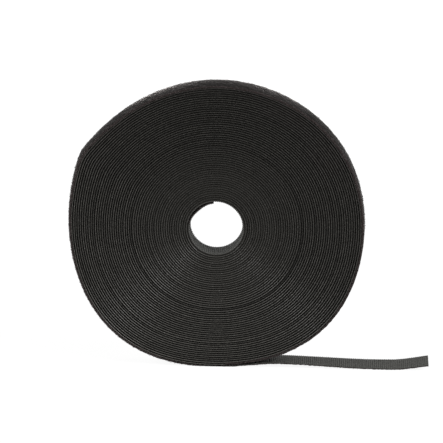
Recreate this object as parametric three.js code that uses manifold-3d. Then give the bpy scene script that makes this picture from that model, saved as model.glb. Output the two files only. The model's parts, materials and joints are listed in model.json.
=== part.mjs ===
// A roll of back-to-back hook and loop tape, standing on its rim with its free tail on the floor.
// The tape is two strips laid back to back: hooks face the roll's axis, loops face outwards.
// Millimetres, +Z up. X runs along the tail, Y across the tape; the origin is on the floor under the axis.
import * as THREE from "three";
import { mergeVertices } from "three/addons/utils/BufferGeometryUtils.js";
import Module from "manifold-3d";

// Tape
const TAPE_WIDTH = 20;
const HOOK_THICKNESS = 0.5;
const LOOP_THICKNESS = 0.72;
const LAYER_GAP = 0.3;
const END_GAP = 0.4;

// Roll: angles are from the top, counter-clockwise as seen from the front
const BORE_DIAMETER = 41.5;
const TURNS = 54;
const START_ANGLE = 5;
const PEEL_ANGLE = 190.5;
const WOUND_TURNS = 14;
const STEPS_PER_TURN = 36;

// Out of round: off centre, one corner at the upper left, a slight oval, settled into lobes at its foot and
// pressed flat where it stands
const OFF_CENTRE = 1.2;
const OFF_CENTRE_ANGLE = 253;
const CORNER_HEIGHT = 6;
const CORNER_ANGLE = 62;
const CORNER_SPREAD = 9.4;
const CORNER_ROUNDING = 3;
const OVAL_DEPTH = 0.35;
const OVAL_ANGLE = 91;
const SETTLE_DEPTH = 2.5;
const SETTLE_LOBES = 4;
const SETTLE_ANGLE = 138;
const ROUNDER_INWARDS = 3;
const FLAT_DEPTH = 0.5;

// Inner end, free to be peeled into the bore
const FLAP_LENGTH = 20;

// Tail: runs along the floor from the peel line to the cut end, and heights of its underside
const PEEL_DROP = 3.5;
const CREST_RUN = 30;
const CREST_HEIGHT = 3;
const FALL_RUN = 85;
const LANDING_RUN = 8;
const TIP_RUN = 31;
const TIP_LIFT = 3.8;
const TIP_SLOPE = 8;
const TAIL_LINKS = 6;
const LINK_STEPS = 5;

// Worked out from the values above
const degrees = THREE.MathUtils.degToRad;
const FULL_TURN = 2 * Math.PI;
const TAPE_THICKNESS = HOOK_THICKNESS + LAYER_GAP + LOOP_THICKNESS;
const PITCH = TAPE_THICKNESS + LAYER_GAP;
const BORE_RADIUS = BORE_DIAMETER / 2;
const STEP_ANGLE = FULL_TURN / STEPS_PER_TURN;
const LEAST_STEP = STEP_ANGLE / 10;
const TAPE_START = degrees(START_ANGLE);
const TAPE_END = degrees(PEEL_ANGLE) + FULL_TURN * TURNS;
const WINDING_START = TAPE_START + FULL_TURN * (TURNS - WOUND_TURNS);
const RIM_RADIUS = bareRadius(TAPE_END) + TAPE_THICKNESS;

const hookMaterial = new THREE.MeshStandardMaterial({ color: 0x3f3e3b, roughness: 0.8, metalness: 0 });
const loopMaterial = new THREE.MeshStandardMaterial({ color: 0x2f2c2b, roughness: 0.95, metalness: 0 });
const edgeMaterial = new THREE.MeshStandardMaterial({ color: 0x292827, roughness: 0.9, metalness: 0 });

// Each strip of the tape lies between two depths, counted outwards from the hook face
const HOOK_LAYER = { inner: 0, outer: HOOK_THICKNESS };
const LOOP_LAYER = { inner: HOOK_THICKNESS + LAYER_GAP, outer: TAPE_THICKNESS };

// Radius of the hook face on a perfectly round spiral
function bareRadius(angle) {
  return BORE_RADIUS + (PITCH * (angle - TAPE_START)) / FULL_TURN;
}

// How far the rim stands from round at an angle
function outOfRound(angle) {
  const turned = ((angle - degrees(CORNER_ANGLE) + Math.PI) % FULL_TURN) - Math.PI;
  const fromCorner = Math.hypot(turned, degrees(CORNER_ROUNDING));
  const corner = CORNER_HEIGHT * Math.exp(-fromCorner / degrees(CORNER_SPREAD));
  const moved = OFF_CENTRE * Math.cos(angle - degrees(OFF_CENTRE_ANGLE));
  const oval = OVAL_DEPTH * Math.cos(2 * (angle - degrees(OVAL_ANGLE)));
  const lowness = (1 - Math.cos(angle)) / 2;
  const lobes = SETTLE_DEPTH * lowness * Math.cos(SETTLE_LOBES * (angle - degrees(SETTLE_ANGLE)));
  return moved + corner + oval + lobes;
}

// Point of the roll's section, x and z from the axis; the turns get rounder towards the bore
function rollPoint(angle, radius) {
  const share = radius / RIM_RADIUS;
  const shaped = radius + outOfRound(angle) * share ** ROUNDER_INWARDS;
  return new THREE.Vector2(-shaped * Math.sin(angle), shaped * Math.cos(angle));
}

// Angles from one end of a stretch to the other, with the whole steps between them
function anglesBetween(from, to) {
  const angles = [from];
  const firstStep = Math.floor((from - TAPE_START) / STEP_ANGLE) + 1;
  const lastStep = Math.ceil((to - TAPE_START) / STEP_ANGLE) - 1;
  for (let step = firstStep; step <= lastStep; step += 1) {
    const angle = TAPE_START + step * STEP_ANGLE;
    if (angle - from > LEAST_STEP && to - angle > LEAST_STEP) angles.push(angle);
  }
  angles.push(to);
  return angles;
}

// Stations of a wound strip: its two faces at each angle
function woundStations(from, to, layer) {
  return anglesBetween(from, to).map((angle) => ({
    inner: rollPoint(angle, bareRadius(angle) + layer.inner),
    outer: rollPoint(angle, bareRadius(angle) + layer.outer),
  }));
}

// Closed strip of the tape's width through stations, square at both ends
function stripGeometry(stations, origin) {
  const half = TAPE_WIDTH / 2;
  const section = [["inner", -half], ["outer", -half], ["outer", half], ["inner", half]];
  const corners = section.length;
  const positions = [];
  for (const station of stations) {
    for (const [face, y] of section) {
      positions.push(station[face].x - origin.x, y, station[face].y - origin.y);
    }
  }
  const index = [0, 2, 1, 0, 3, 2];
  for (let i = 0; i + 1 < stations.length; i += 1) {
    for (let corner = 0; corner < corners; corner += 1) {
      const a = corners * i + corner;
      const b = corners * i + ((corner + 1) % corners);
      index.push(a, b, b + corners, a, b + corners, a + corners);
    }
  }
  const last = corners * (stations.length - 1);
  index.push(last, last + 1, last + 2, last, last + 2, last + 3);
  const geometry = new THREE.BufferGeometry();
  geometry.setAttribute("position", new THREE.Float32BufferAttribute(positions, 3));
  geometry.setIndex(index);
  geometry.computeVertexNormals();
  return geometry;
}

// Least distance between a wound strip's outer face and its own inner face a turn further out
function selfGap(stations) {
  let least = Infinity;
  for (let i = 0; i < stations.length; i += 1) {
    for (let j = i + STEPS_PER_TURN / 2; j < stations.length; j += 1) {
      least = Math.min(least, stations[i].outer.distanceTo(stations[j].inner));
    }
  }
  return least;
}

function addMesh(parent, name, geometry, material) {
  const mesh = new THREE.Mesh(geometry, material);
  mesh.name = name;
  parent.add(mesh);
}

// Cutting with solids
const wasm = await Module();
wasm.setup();

function toSolid(geometry) {
  const bare = geometry.clone();
  bare.deleteAttribute("normal");
  bare.deleteAttribute("uv");
  const merged = mergeVertices(bare);
  const vertProperties = new Float32Array(merged.attributes.position.array);
  const triVerts = new Uint32Array(merged.index.array);
  return new wasm.Manifold(new wasm.Mesh({ numProp: 3, vertProperties, triVerts }));
}

function fromSolid(solid) {
  const mesh = solid.getMesh();
  const geometry = new THREE.BufferGeometry();
  geometry.setAttribute("position", new THREE.Float32BufferAttribute(mesh.vertProperties, 3));
  geometry.setIndex([...mesh.triVerts]);
  geometry.computeVertexNormals();
  return geometry;
}

const AXIS = new THREE.Vector2(0, 0);

// Outer turns: two strips wound together, pressed flat where the roll stands
const windingFrom = WINDING_START + END_GAP / bareRadius(WINDING_START);
const hookStations = woundStations(windingFrom, TAPE_END, HOOK_LAYER);
const loopStations = woundStations(windingFrom, TAPE_END, LOOP_LAYER);
const lowestRim = Math.min(...loopStations.map(({ outer }) => outer.y));
const AXIS_HEIGHT = -lowestRim - FLAT_DEPTH;

const roll = new THREE.Group();
roll.position.z = AXIS_HEIGHT;
addMesh(roll, "winding_hook", stripGeometry(hookStations, AXIS), hookMaterial);

const floorBlock = new THREE.BoxGeometry(RIM_RADIUS, 2 * TAPE_WIDTH, RIM_RADIUS);
floorBlock.translate(0, 0, -AXIS_HEIGHT - RIM_RADIUS / 2);
const pressedLoop = toSolid(stripGeometry(loopStations, AXIS)).subtract(toSolid(floorBlock));
addMesh(roll, "winding_loop", fromSolid(pressedLoop), loopMaterial);

for (const [name, stations] of [["winding_hook", hookStations], ["winding_loop", loopStations]]) {
  console.log(`least gap of ${name} to itself: ${selfGap(stations).toFixed(2)} mm`);
}

// Turns between the bore and the outer turns, as one plain core that follows the tape's spiral at both faces
function spiralLoop(from, depth) {
  const angles = anglesBetween(from, from + FULL_TURN);
  return angles.map((angle) => rollPoint(angle, bareRadius(angle) + depth));
}

const coreSection = new THREE.Shape(spiralLoop(WINDING_START, -LAYER_GAP));
coreSection.holes.push(new THREE.Path(spiralLoop(TAPE_START + FULL_TURN, 0)));
const coreGeometry = new THREE.ExtrudeGeometry(coreSection, { depth: TAPE_WIDTH, bevelEnabled: false });
coreGeometry.translate(0, 0, -TAPE_WIDTH / 2);
coreGeometry.rotateX(Math.PI / 2);
addMesh(roll, "inner_turns", coreGeometry, edgeMaterial);

// Innermost turn, and the free end of it that peels into the bore
const flapRoot = TAPE_START + FLAP_LENGTH / BORE_RADIUS;
const halfEndGap = END_GAP / 2 / BORE_RADIUS;
const startTurnEnd = TAPE_START + FULL_TURN - END_GAP / BORE_RADIUS;
const startTurn = [flapRoot + halfEndGap, startTurnEnd];
const flapStretch = [TAPE_START, flapRoot - halfEndGap];
const flapHinge = rollPoint(flapRoot, bareRadius(flapRoot));
const startFlap = new THREE.Group();
startFlap.position.set(flapHinge.x, 0, flapHinge.y);
roll.add(startFlap);
for (const [kind, layer, material] of [
  ["hook", HOOK_LAYER, hookMaterial],
  ["loop", LOOP_LAYER, loopMaterial],
]) {
  addMesh(roll, `start_turn_${kind}`, stripGeometry(woundStations(...startTurn, layer), AXIS), material);
  const flapGeometry = stripGeometry(woundStations(...flapStretch, layer), flapHinge);
  addMesh(startFlap, `start_flap_${kind}`, flapGeometry, material);
}

// Tail: its underside leaves the rim a little below the tangent, arches, lands and lifts again at the cut end
const peel = rollPoint(TAPE_END, bareRadius(TAPE_END) + TAPE_THICKNESS);
peel.y += AXIS_HEIGHT;
const beforePeel = rollPoint(TAPE_END - LEAST_STEP, RIM_RADIUS);
const rimTangent = rollPoint(TAPE_END, RIM_RADIUS).sub(beforePeel);
const peelSlope = Math.tan(rimTangent.angle() - degrees(PEEL_DROP));

// Curve between two points with a set slope at each end
function sloped(from, fromSlope, to, toSlope) {
  const third = (to.x - from.x) / 3;
  const leave = new THREE.Vector2(from.x + third, from.y + third * fromSlope);
  const arrive = new THREE.Vector2(to.x - third, to.y - third * toSlope);
  return new THREE.CubicBezierCurve(from, leave, arrive, to);
}

const crest = new THREE.Vector2(peel.x + CREST_RUN, CREST_HEIGHT);
const landing = new THREE.Vector2(crest.x + FALL_RUN, 0);
const liftOff = new THREE.Vector2(landing.x + LANDING_RUN, 0);
const tip = new THREE.Vector2(liftOff.x + TIP_RUN, TIP_LIFT);
const tailPath = new THREE.CurvePath();
tailPath.add(sloped(peel, peelSlope, crest, 0));
tailPath.add(sloped(crest, 0, landing, 0));
tailPath.add(new THREE.LineCurve(landing, liftOff));
tailPath.add(sloped(liftOff, 0, tip, Math.tan(degrees(TIP_SLOPE))));
const tailLength = tailPath.getLength();

// Point above the tail's underside, square to the tape, at a share of the tail's length
function tailPoint(share, height) {
  const tangent = tailPath.getTangent(share);
  const point = tailPath.getPoint(share);
  return new THREE.Vector2(point.x - height * tangent.y, point.y + height * tangent.x);
}

function tailStations(from, to, layer) {
  const stations = [];
  for (let step = 0; step <= LINK_STEPS; step += 1) {
    const share = from + ((to - from) * step) / LINK_STEPS;
    const inner = tailPoint(share, TAPE_THICKNESS - layer.inner);
    const outer = tailPoint(share, TAPE_THICKNESS - layer.outer);
    stations.push({ inner, outer });
  }
  return stations;
}

const tape = new THREE.Group();
tape.add(roll);

// The tail bends where one link meets the next, half way through the tape
let carrier = tape;
let carrierHinge = AXIS;
for (let link = 1; link <= TAIL_LINKS; link += 1) {
  const root = (link - 1) / TAIL_LINKS;
  const rootGap = link === 1 ? END_GAP : END_GAP / 2;
  const farGap = link === TAIL_LINKS ? 0 : END_GAP / 2;
  const from = root + rootGap / tailLength;
  const to = link / TAIL_LINKS - farGap / tailLength;
  const hinge = tailPoint(root, TAPE_THICKNESS / 2);
  const group = new THREE.Group();
  group.position.set(hinge.x - carrierHinge.x, 0, hinge.y - carrierHinge.y);
  carrier.add(group);
  addMesh(group, `tail_${link}_hook`, stripGeometry(tailStations(from, to, HOOK_LAYER), hinge), hookMaterial);
  addMesh(group, `tail_${link}_loop`, stripGeometry(tailStations(from, to, LOOP_LAYER), hinge), loopMaterial);
  carrier = group;
  carrierHinge = hinge;
}

export default tape;
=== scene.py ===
# %% [markdown]
# # A roll of hook and loop tape
# The object is one long tape, wound on itself with no core. It stands on its rim, and its free end lies on
# the floor. Two strips are bonded back to back: the hook strip faces the axis, the loop strip faces outwards.
# The imported solids are a fixed frame. They say where the turns, the links of the tail and the hinges are, so
# every piece below is made in that frame, in metres, and the pieces of the roll then ride on a body of it.

# %% Load the frame
import json
import math

import bpy
import numpy as np
from mathutils import Matrix, Vector


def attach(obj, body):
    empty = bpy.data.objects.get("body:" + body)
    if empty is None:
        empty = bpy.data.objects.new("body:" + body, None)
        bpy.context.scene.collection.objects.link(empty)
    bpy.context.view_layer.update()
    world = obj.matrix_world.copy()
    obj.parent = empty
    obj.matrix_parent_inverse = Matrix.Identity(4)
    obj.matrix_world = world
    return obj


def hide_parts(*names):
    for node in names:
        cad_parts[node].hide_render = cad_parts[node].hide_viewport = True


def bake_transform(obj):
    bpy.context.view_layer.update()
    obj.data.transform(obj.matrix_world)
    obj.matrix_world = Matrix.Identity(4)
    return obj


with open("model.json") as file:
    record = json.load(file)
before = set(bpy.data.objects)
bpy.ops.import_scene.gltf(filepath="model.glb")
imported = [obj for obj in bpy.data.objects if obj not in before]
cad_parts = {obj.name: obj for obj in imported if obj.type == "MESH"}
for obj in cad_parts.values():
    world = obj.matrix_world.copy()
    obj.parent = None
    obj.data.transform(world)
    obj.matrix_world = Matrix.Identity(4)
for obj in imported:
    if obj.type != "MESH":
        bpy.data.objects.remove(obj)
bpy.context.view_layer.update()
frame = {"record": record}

MM = 0.001
FULL_TURN = 2 * math.pi

# %% [markdown]
# ## The tape's line
# A wound tape is a spiral that grows by one tape thickness a turn. The real roll isn't round: it has a soft
# corner at the upper left and has settled over its foot, and the turns get rounder towards the bore. One
# formula gives all of that. It is the formula of the solids, so the fine tape lies exactly where they are.
# Angles are counted from the top, counter-clockwise as seen from the front, and sizes are millimetres.

# %% Sizes of the tape and the roll
TAPE_WIDTH = 20.0
TAPE_THICKNESS = 1.52
PITCH = 1.82
BORE_RADIUS = 20.75
TURNS = 54
TAPE_START = math.radians(5)
TAPE_END = math.radians(190.5) + FULL_TURN * TURNS
OFF_CENTRE = 1.2
OFF_CENTRE_ANGLE = math.radians(253)
CORNER_HEIGHT = 6.0
CORNER_ANGLE = math.radians(62)
CORNER_SPREAD = math.radians(9.4)
CORNER_ROUNDING = math.radians(3)
OVAL_DEPTH = 0.35
OVAL_ANGLE = math.radians(91)
SETTLE_DEPTH = 2.5
SETTLE_LOBES = 4
SETTLE_ANGLE = math.radians(138)
ROUNDER_INWARDS = 3

mounts = {mount["name"]: mount for mount in frame["record"]["mounts"]}
AXIS_HEIGHT = mounts["side_front"]["pos_m"][2] / MM


def bare_radius(angle):
    """Radius of the hook face on a perfectly round spiral."""
    return BORE_RADIUS + PITCH * (angle - TAPE_START) / FULL_TURN


RIM_RADIUS = bare_radius(TAPE_END) + TAPE_THICKNESS


def out_of_round(angle):
    """How far the rim stands from round."""
    turned = (angle - CORNER_ANGLE + math.pi) % FULL_TURN - math.pi
    from_corner = np.sqrt(turned**2 + CORNER_ROUNDING**2)
    corner = CORNER_HEIGHT * np.exp(-from_corner / CORNER_SPREAD)
    moved = OFF_CENTRE * np.cos(angle - OFF_CENTRE_ANGLE)
    oval = OVAL_DEPTH * np.cos(2 * (angle - OVAL_ANGLE))
    lowness = (1 - np.cos(angle)) / 2
    return moved + corner + oval + SETTLE_DEPTH * lowness * np.cos(SETTLE_LOBES * (angle - SETTLE_ANGLE))


def roll_point(angle, depth):
    """Point of the roll's section, x and z, at a depth counted outwards from the hook face."""
    radius = bare_radius(angle) + depth
    shaped = radius + out_of_round(angle) * (radius / RIM_RADIUS) ** ROUNDER_INWARDS
    return np.stack([-shaped * np.sin(angle), AXIS_HEIGHT + shaped * np.cos(angle)], axis=-1)


print(f"rim radius {RIM_RADIUS:.1f} mm, axis {AXIS_HEIGHT:.1f} mm above the floor")

# %% [markdown]
# The tail is the end of the same tape. It leaves the rim a little below the tangent, arches over the floor,
# lands and lifts again at its cut end. Three curves with set slopes at their ends and one straight stretch
# make its underside, and a table of length against place lets any point be asked for by its length.

# %% Line of the tail
PEEL_DROP = math.radians(3.5)
CREST_RUN = 30.0
CREST_HEIGHT = 3.0
FALL_RUN = 85.0
LANDING_RUN = 8.0
TIP_RUN = 31.0
TIP_LIFT = 3.8
TIP_SLOPE = math.tan(math.radians(8))
CURVE_STEPS = 200
TANGENT_STEP = 0.5


def sloped(start, start_slope, stop, stop_slope):
    """Points of a cubic curve between two points with a set slope at each end."""
    third = (stop[0] - start[0]) / 3
    leave = start + third * np.array([1, start_slope])
    arrive = stop - third * np.array([1, stop_slope])
    t = np.linspace(0, 1, CURVE_STEPS)[:, None]
    return (1 - t) ** 3 * start + 3 * t * (1 - t) ** 2 * leave + 3 * t**2 * (1 - t) * arrive + t**3 * stop


peel = roll_point(TAPE_END, TAPE_THICKNESS)
rim_tangent = peel - roll_point(TAPE_END - math.radians(1), TAPE_THICKNESS)
peel_slope = math.tan(math.atan2(rim_tangent[1], rim_tangent[0]) - PEEL_DROP)
crest = np.array([peel[0] + CREST_RUN, CREST_HEIGHT])
landing = np.array([crest[0] + FALL_RUN, 0.0])
lift_off = np.array([landing[0] + LANDING_RUN, 0.0])
tip = np.array([lift_off[0] + TIP_RUN, TIP_LIFT])
underside = np.concatenate([
    sloped(peel, peel_slope, crest, 0),
    sloped(crest, 0, landing, 0)[1:],
    sloped(lift_off, 0, tip, TIP_SLOPE),
])
underside_length = np.concatenate([[0], np.cumsum(np.linalg.norm(np.diff(underside, axis=0), axis=1))])
TAIL_LENGTH = underside_length[-1]


def roll_stations(angles):
    """Places on the hook face of the wound tape, and the way through the tape, per millimetre."""
    face = roll_point(angles, 0)
    return face, (roll_point(angles, TAPE_THICKNESS) - face) / TAPE_THICKNESS


def underside_point(lengths):
    """Places on the tail's underside, by length from the peel line."""
    return np.stack([np.interp(lengths, underside_length, underside[:, k]) for k in (0, 1)], axis=-1)


def tail_stations(lengths):
    """The same along the tail, by length from the peel line; below zero the tape is still on the rim."""
    on_rim = TAPE_END + np.minimum(lengths, 0) / (RIM_RADIUS - TAPE_THICKNESS)
    rim_face, rim_through = roll_stations(on_rim)
    at = np.clip(lengths, 0, TAIL_LENGTH)
    ahead = np.minimum(at + TANGENT_STEP, TAIL_LENGTH)
    behind = np.maximum(at - TANGENT_STEP, 0)
    tangent = underside_point(ahead) - underside_point(behind)
    tangent /= np.linalg.norm(tangent, axis=1, keepdims=True)
    normal = np.stack([-tangent[:, 1], tangent[:, 0]], axis=-1)
    free = (lengths > 0)[:, None]
    face = underside_point(at) + TAPE_THICKNESS * normal
    return np.where(free, face, rim_face), np.where(free, -normal, rim_through)


print(f"tail {TAIL_LENGTH:.1f} mm from the peel line to the cut end")

# %% [markdown]
# ## Camera
# The photograph looks down on the roll at 17 degrees from far away, through a long lens, with the picture
# turned by about a degree. The camera stands on that line and aims a little beside the axis, which places
# the object in the frame without any lens shift.

# %% Camera at the photograph's angle
CAMERA_ELEVATION = math.radians(17.2)
CAMERA_YAW = math.radians(1.3)
CAMERA_ROLL = math.radians(0.78)
CAMERA_DISTANCE = 3017.0
AIM_RIGHT = 4.5
AIM_UP = 2.8
LENS = 301.8
SENSOR_WIDTH = 36
SEES_TO = 50

back = Vector((
    math.sin(CAMERA_YAW) * math.cos(CAMERA_ELEVATION),
    -math.cos(CAMERA_YAW) * math.cos(CAMERA_ELEVATION),
    math.sin(CAMERA_ELEVATION),
))
level = (-back).to_track_quat("-Z", "Y").to_matrix()
turned = level @ Matrix.Rotation(CAMERA_ROLL, 3, "Z")
aim = Vector((0, 0, AXIS_HEIGHT)) + turned @ Vector((AIM_RIGHT, AIM_UP, 0))
camera = bpy.data.objects.new("camera", bpy.data.cameras.new("camera"))
camera.data.sensor_width = SENSOR_WIDTH
camera.data.lens = LENS
camera.data.clip_end = SEES_TO
camera.matrix_world = Matrix.Translation((aim + back * CAMERA_DISTANCE) * MM) @ turned.to_4x4()
bpy.context.scene.collection.objects.link(camera)
bpy.context.scene.camera = camera
print("camera at", [round(c, 3) for c in camera.location])

# %% [markdown]
# ## Light and floor
# The studio is plain: two soft boxes in front of the roll, a weaker pair behind it, a faint light overhead,
# and a white floor that throws light back up. The right front box is the strongest. The floor shows the
# camera an even white, yet keeps a share of its true shading, so the roll still has a faint shadow under it.
# The sky is white to the camera and dim to the object. A picture of a studio could light the scene instead,
# but a few discs are easier to set one by one.

# %% Floor, sky and lamps
FLOOR_HALF = 6
FLOOR_WHITE = (0.6, 0.6, 0.6, 1)
FLOOR_GLOW = 1.1
SHADOW_SHARE = 0.16
SHADOW_REACH = (0.3, 0.8)
SKY_LIGHT = 0.2
LAMP_TARGET = (0, 0, 0.1)
# Place, width and watts of each lamp
LAMPS = {
    "overhead": ((0, 0, 1.7), 1.2, 2),
    "right_box": ((3.0, -1.2, 2.0), 1.6, 136),
    "left_box": ((-3.0, -1.2, 2.0), 1.6, 86),
    "back_right_box": ((3.0, 1.6, 2.0), 1.6, 40),
    "back_left_box": ((-3.0, 1.6, 2.0), 1.6, 48),
}


def link(tree, source, target):
    tree.links.new(source, target)


def seen_directly(tree):
    """One where a ray comes from the camera, from a reflection or through glass, and zero elsewhere."""
    rays = tree.nodes.new("ShaderNodeLightPath")
    total = rays.outputs["Is Camera Ray"]
    for name in ("Is Glossy Ray", "Is Transmission Ray"):
        either = tree.nodes.new("ShaderNodeMath")
        either.operation = "MAXIMUM"
        link(tree, total, either.inputs[0])
        link(tree, rays.outputs[name], either.inputs[1])
        total = either.outputs[0]
    return total


def white_floor():
    material = bpy.data.materials.new("white_floor")
    material.use_nodes = True
    tree = material.node_tree
    tree.nodes.clear()
    matt = tree.nodes.new("ShaderNodeBsdfDiffuse")
    matt.inputs["Color"].default_value = FLOOR_WHITE
    glow = tree.nodes.new("ShaderNodeEmission")
    glow.inputs["Strength"].default_value = FLOOR_GLOW
    place = tree.nodes.new("ShaderNodeNewGeometry")
    distance = tree.nodes.new("ShaderNodeVectorMath")
    distance.operation = "LENGTH"
    link(tree, place.outputs["Position"], distance.inputs[0])
    even = tree.nodes.new("ShaderNodeMapRange")
    even.inputs["From Min"].default_value, even.inputs["From Max"].default_value = SHADOW_REACH
    even.inputs["To Min"].default_value = 1 - SHADOW_SHARE
    link(tree, distance.outputs["Value"], even.inputs["Value"])
    share = tree.nodes.new("ShaderNodeMath")
    share.operation = "MULTIPLY"
    link(tree, even.outputs[0], share.inputs[1])
    link(tree, seen_directly(tree), share.inputs[0])
    mixed = tree.nodes.new("ShaderNodeMixShader")
    link(tree, share.outputs[0], mixed.inputs["Fac"])
    link(tree, matt.outputs[0], mixed.inputs[1])
    link(tree, glow.outputs[0], mixed.inputs[2])
    output = tree.nodes.new("ShaderNodeOutputMaterial")
    link(tree, mixed.outputs[0], output.inputs["Surface"])
    return material


def floor_plane(half):
    mesh = bpy.data.meshes.new("floor")
    corners = [(-half, -half, 0), (half, -half, 0), (half, half, 0), (-half, half, 0)]
    mesh.from_pydata(corners, [], [(0, 1, 2, 3)])
    mesh.materials.append(white_floor())
    plane = bpy.data.objects.new("floor", mesh)
    bpy.context.scene.collection.objects.link(plane)
    return plane


def white_sky():
    world = bpy.data.worlds.new("white_sky")
    world.use_nodes = True
    tree = world.node_tree
    tree.nodes.clear()
    strength = tree.nodes.new("ShaderNodeMapRange")
    strength.inputs["To Min"].default_value = SKY_LIGHT
    strength.inputs["To Max"].default_value = 1
    link(tree, seen_directly(tree), strength.inputs["Value"])
    sky = tree.nodes.new("ShaderNodeBackground")
    link(tree, strength.outputs[0], sky.inputs["Strength"])
    output = tree.nodes.new("ShaderNodeOutputWorld")
    link(tree, sky.outputs[0], output.inputs["Surface"])
    bpy.context.scene.world = world


def soft_lamp(name, place, size, watts):
    lamp = bpy.data.lights.new(name, "AREA")
    lamp.shape = "DISK"
    lamp.size = size
    lamp.energy = watts
    holder = bpy.data.objects.new(name, lamp)
    holder.location = place
    holder.rotation_mode = "QUATERNION"
    holder.rotation_quaternion = (Vector(LAMP_TARGET) - Vector(place)).to_track_quat("-Z", "Y")
    bpy.context.scene.collection.objects.link(holder)


floor_plane(FLOOR_HALF)
white_sky()
for lamp_name, lamp_values in LAMPS.items():
    soft_lamp(lamp_name, *lamp_values)
bpy.context.scene.view_settings.view_transform = "Standard"

# %% [markdown]
# ## Shared surface effects
# Several finishes on this tape are the same effect with other values: yarn floats that bead along an edge,
# woven ribs, a brushed nap, and lint. Each is a node group with named sockets, made once. They read the
# tape's own coordinates, length and breadth in millimetres, which every strip carries as a UV map. A picture
# texture could do this too, but it would blur on a 25 metre strip, and nodes stay sharp at any length.

# %% Helpers for node groups
TAPE_MAP = "tape"


def group_of(name, inputs, outputs):
    """A new node group with number inputs (name: value), a Place input and number outputs."""
    group = bpy.data.node_groups.new(name, "ShaderNodeTree")
    group.interface.new_socket("Place", in_out="INPUT", socket_type="NodeSocketVector")
    for label, value in inputs.items():
        socket = group.interface.new_socket(label, in_out="INPUT", socket_type="NodeSocketFloat")
        socket.default_value = value
    for label in outputs:
        group.interface.new_socket(label, in_out="OUTPUT", socket_type="NodeSocketFloat")
    return group, group.nodes.new("NodeGroupInput"), group.nodes.new("NodeGroupOutput")


def calc(tree, operation, *values):
    """A math node on sockets or plain numbers; returns its result."""
    node = tree.nodes.new("ShaderNodeMath")
    node.operation = operation
    for slot, value in zip(node.inputs, values):
        if isinstance(value, (int, float)):
            slot.default_value = value
        else:
            link(tree, value, slot)
    return node.outputs[0]


def ramp(tree, value, low, high, to_low=0.0, to_high=1.0):
    """A smooth step from one value to another."""
    node = tree.nodes.new("ShaderNodeMapRange")
    node.interpolation_type = "SMOOTHSTEP"
    link(tree, value, node.inputs["Value"])
    for label, number in (("From Min", low), ("From Max", high), ("To Min", to_low), ("To Max", to_high)):
        node.inputs[label].default_value = number
    return node.outputs[0]


def scaled(tree, place, along, across):
    """The place divided by a length along the tape and a length across it."""
    parts = tree.nodes.new("ShaderNodeSeparateXYZ")
    link(tree, place, parts.inputs[0])
    joined = tree.nodes.new("ShaderNodeCombineXYZ")
    link(tree, calc(tree, "DIVIDE", parts.outputs["X"], along), joined.inputs["X"])
    link(tree, calc(tree, "DIVIDE", parts.outputs["Y"], across), joined.inputs["Y"])
    return joined.outputs[0]


def noise(tree, place, detail=2.0):
    node = tree.nodes.new("ShaderNodeTexNoise")
    node.noise_dimensions = "2D"
    node.inputs["Scale"].default_value = 1
    node.inputs["Detail"].default_value = detail
    link(tree, place, node.inputs["Vector"])
    return node.outputs["Fac"]


def wave(tree, number):
    """A sine of a count of turns, from zero to one."""
    turns = calc(tree, "MULTIPLY", number, FULL_TURN)
    return calc(tree, "MULTIPLY_ADD", calc(tree, "SINE", turns), 0.5, 0.5)


# %% Yarn beads, woven ribs, brushed nap and lint
BEAD_BREADTH = 1.0
PATCH_BREADTH = 3.0
BEAD_STEP = (0.32, 0.68)
PATCH_STEP = (0.3, 0.7)
LINT_RIM = (0.03, 0.07)
CLUMP_DETAIL = 3.0


def make_yarn_beads():
    group, start, end = group_of("yarn_beads", {"Bead": 1.5, "Patch": 14.0}, ["Beads", "Patches"])
    place = start.outputs["Place"]
    fine = noise(group, scaled(group, place, start.outputs["Bead"], BEAD_BREADTH))
    slow = noise(group, scaled(group, place, start.outputs["Patch"], PATCH_BREADTH))
    link(group, ramp(group, fine, *BEAD_STEP), end.inputs["Beads"])
    link(group, ramp(group, slow, *PATCH_STEP), end.inputs["Patches"])
    return group


def make_woven_ribs():
    group, start, end = group_of("woven_ribs", {"Rib": 1.6, "Yarn": 0.55}, ["Ribs", "Yarns"])
    parts = group.nodes.new("ShaderNodeSeparateXYZ")
    link(group, start.outputs["Place"], parts.inputs[0])
    rows = calc(group, "DIVIDE", parts.outputs["X"], start.outputs["Rib"])
    yarns = calc(group, "DIVIDE", parts.outputs["Y"], start.outputs["Yarn"])
    half_row = calc(group, "MULTIPLY", calc(group, "FLOOR", calc(group, "MULTIPLY", rows, 2)), 0.5)
    # Ribs is the mask for the painted shade between the ribs; Yarns is a height for the bump.
    link(group, wave(group, rows), end.inputs["Ribs"])
    link(group, wave(group, calc(group, "ADD", yarns, half_row)), end.inputs["Yarns"])
    return group


def make_brushed_nap():
    group, start, end = group_of("brushed_nap", {"Clump": 2.4, "Fibre": 0.35}, ["Clumps", "Fibres"])
    place = start.outputs["Place"]
    clump, fibre = start.outputs["Clump"], start.outputs["Fibre"]
    link(group, noise(group, scaled(group, place, clump, clump), CLUMP_DETAIL), end.inputs["Clumps"])
    fibre_length = calc(group, "MULTIPLY", fibre, 2)
    link(group, noise(group, scaled(group, place, fibre_length, fibre)), end.inputs["Fibres"])
    return group


def make_lint():
    group, start, end = group_of("lint", {"Spacing": 6.0}, ["Lint"])
    spots = group.nodes.new("ShaderNodeTexVoronoi")
    spots.voronoi_dimensions = "2D"
    spots.inputs["Scale"].default_value = 1
    spacing = start.outputs["Spacing"]
    link(group, scaled(group, start.outputs["Place"], spacing, spacing), spots.inputs["Vector"])
    link(group, ramp(group, spots.outputs["Distance"], *LINT_RIM, 1.0, 0.0), end.inputs["Lint"])
    return group


YARN_BEADS = make_yarn_beads()
WOVEN_RIBS = make_woven_ribs()
BRUSHED_NAP = make_brushed_nap()
LINT = make_lint()
print("effects:", ", ".join(group.name for group in bpy.data.node_groups))
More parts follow.
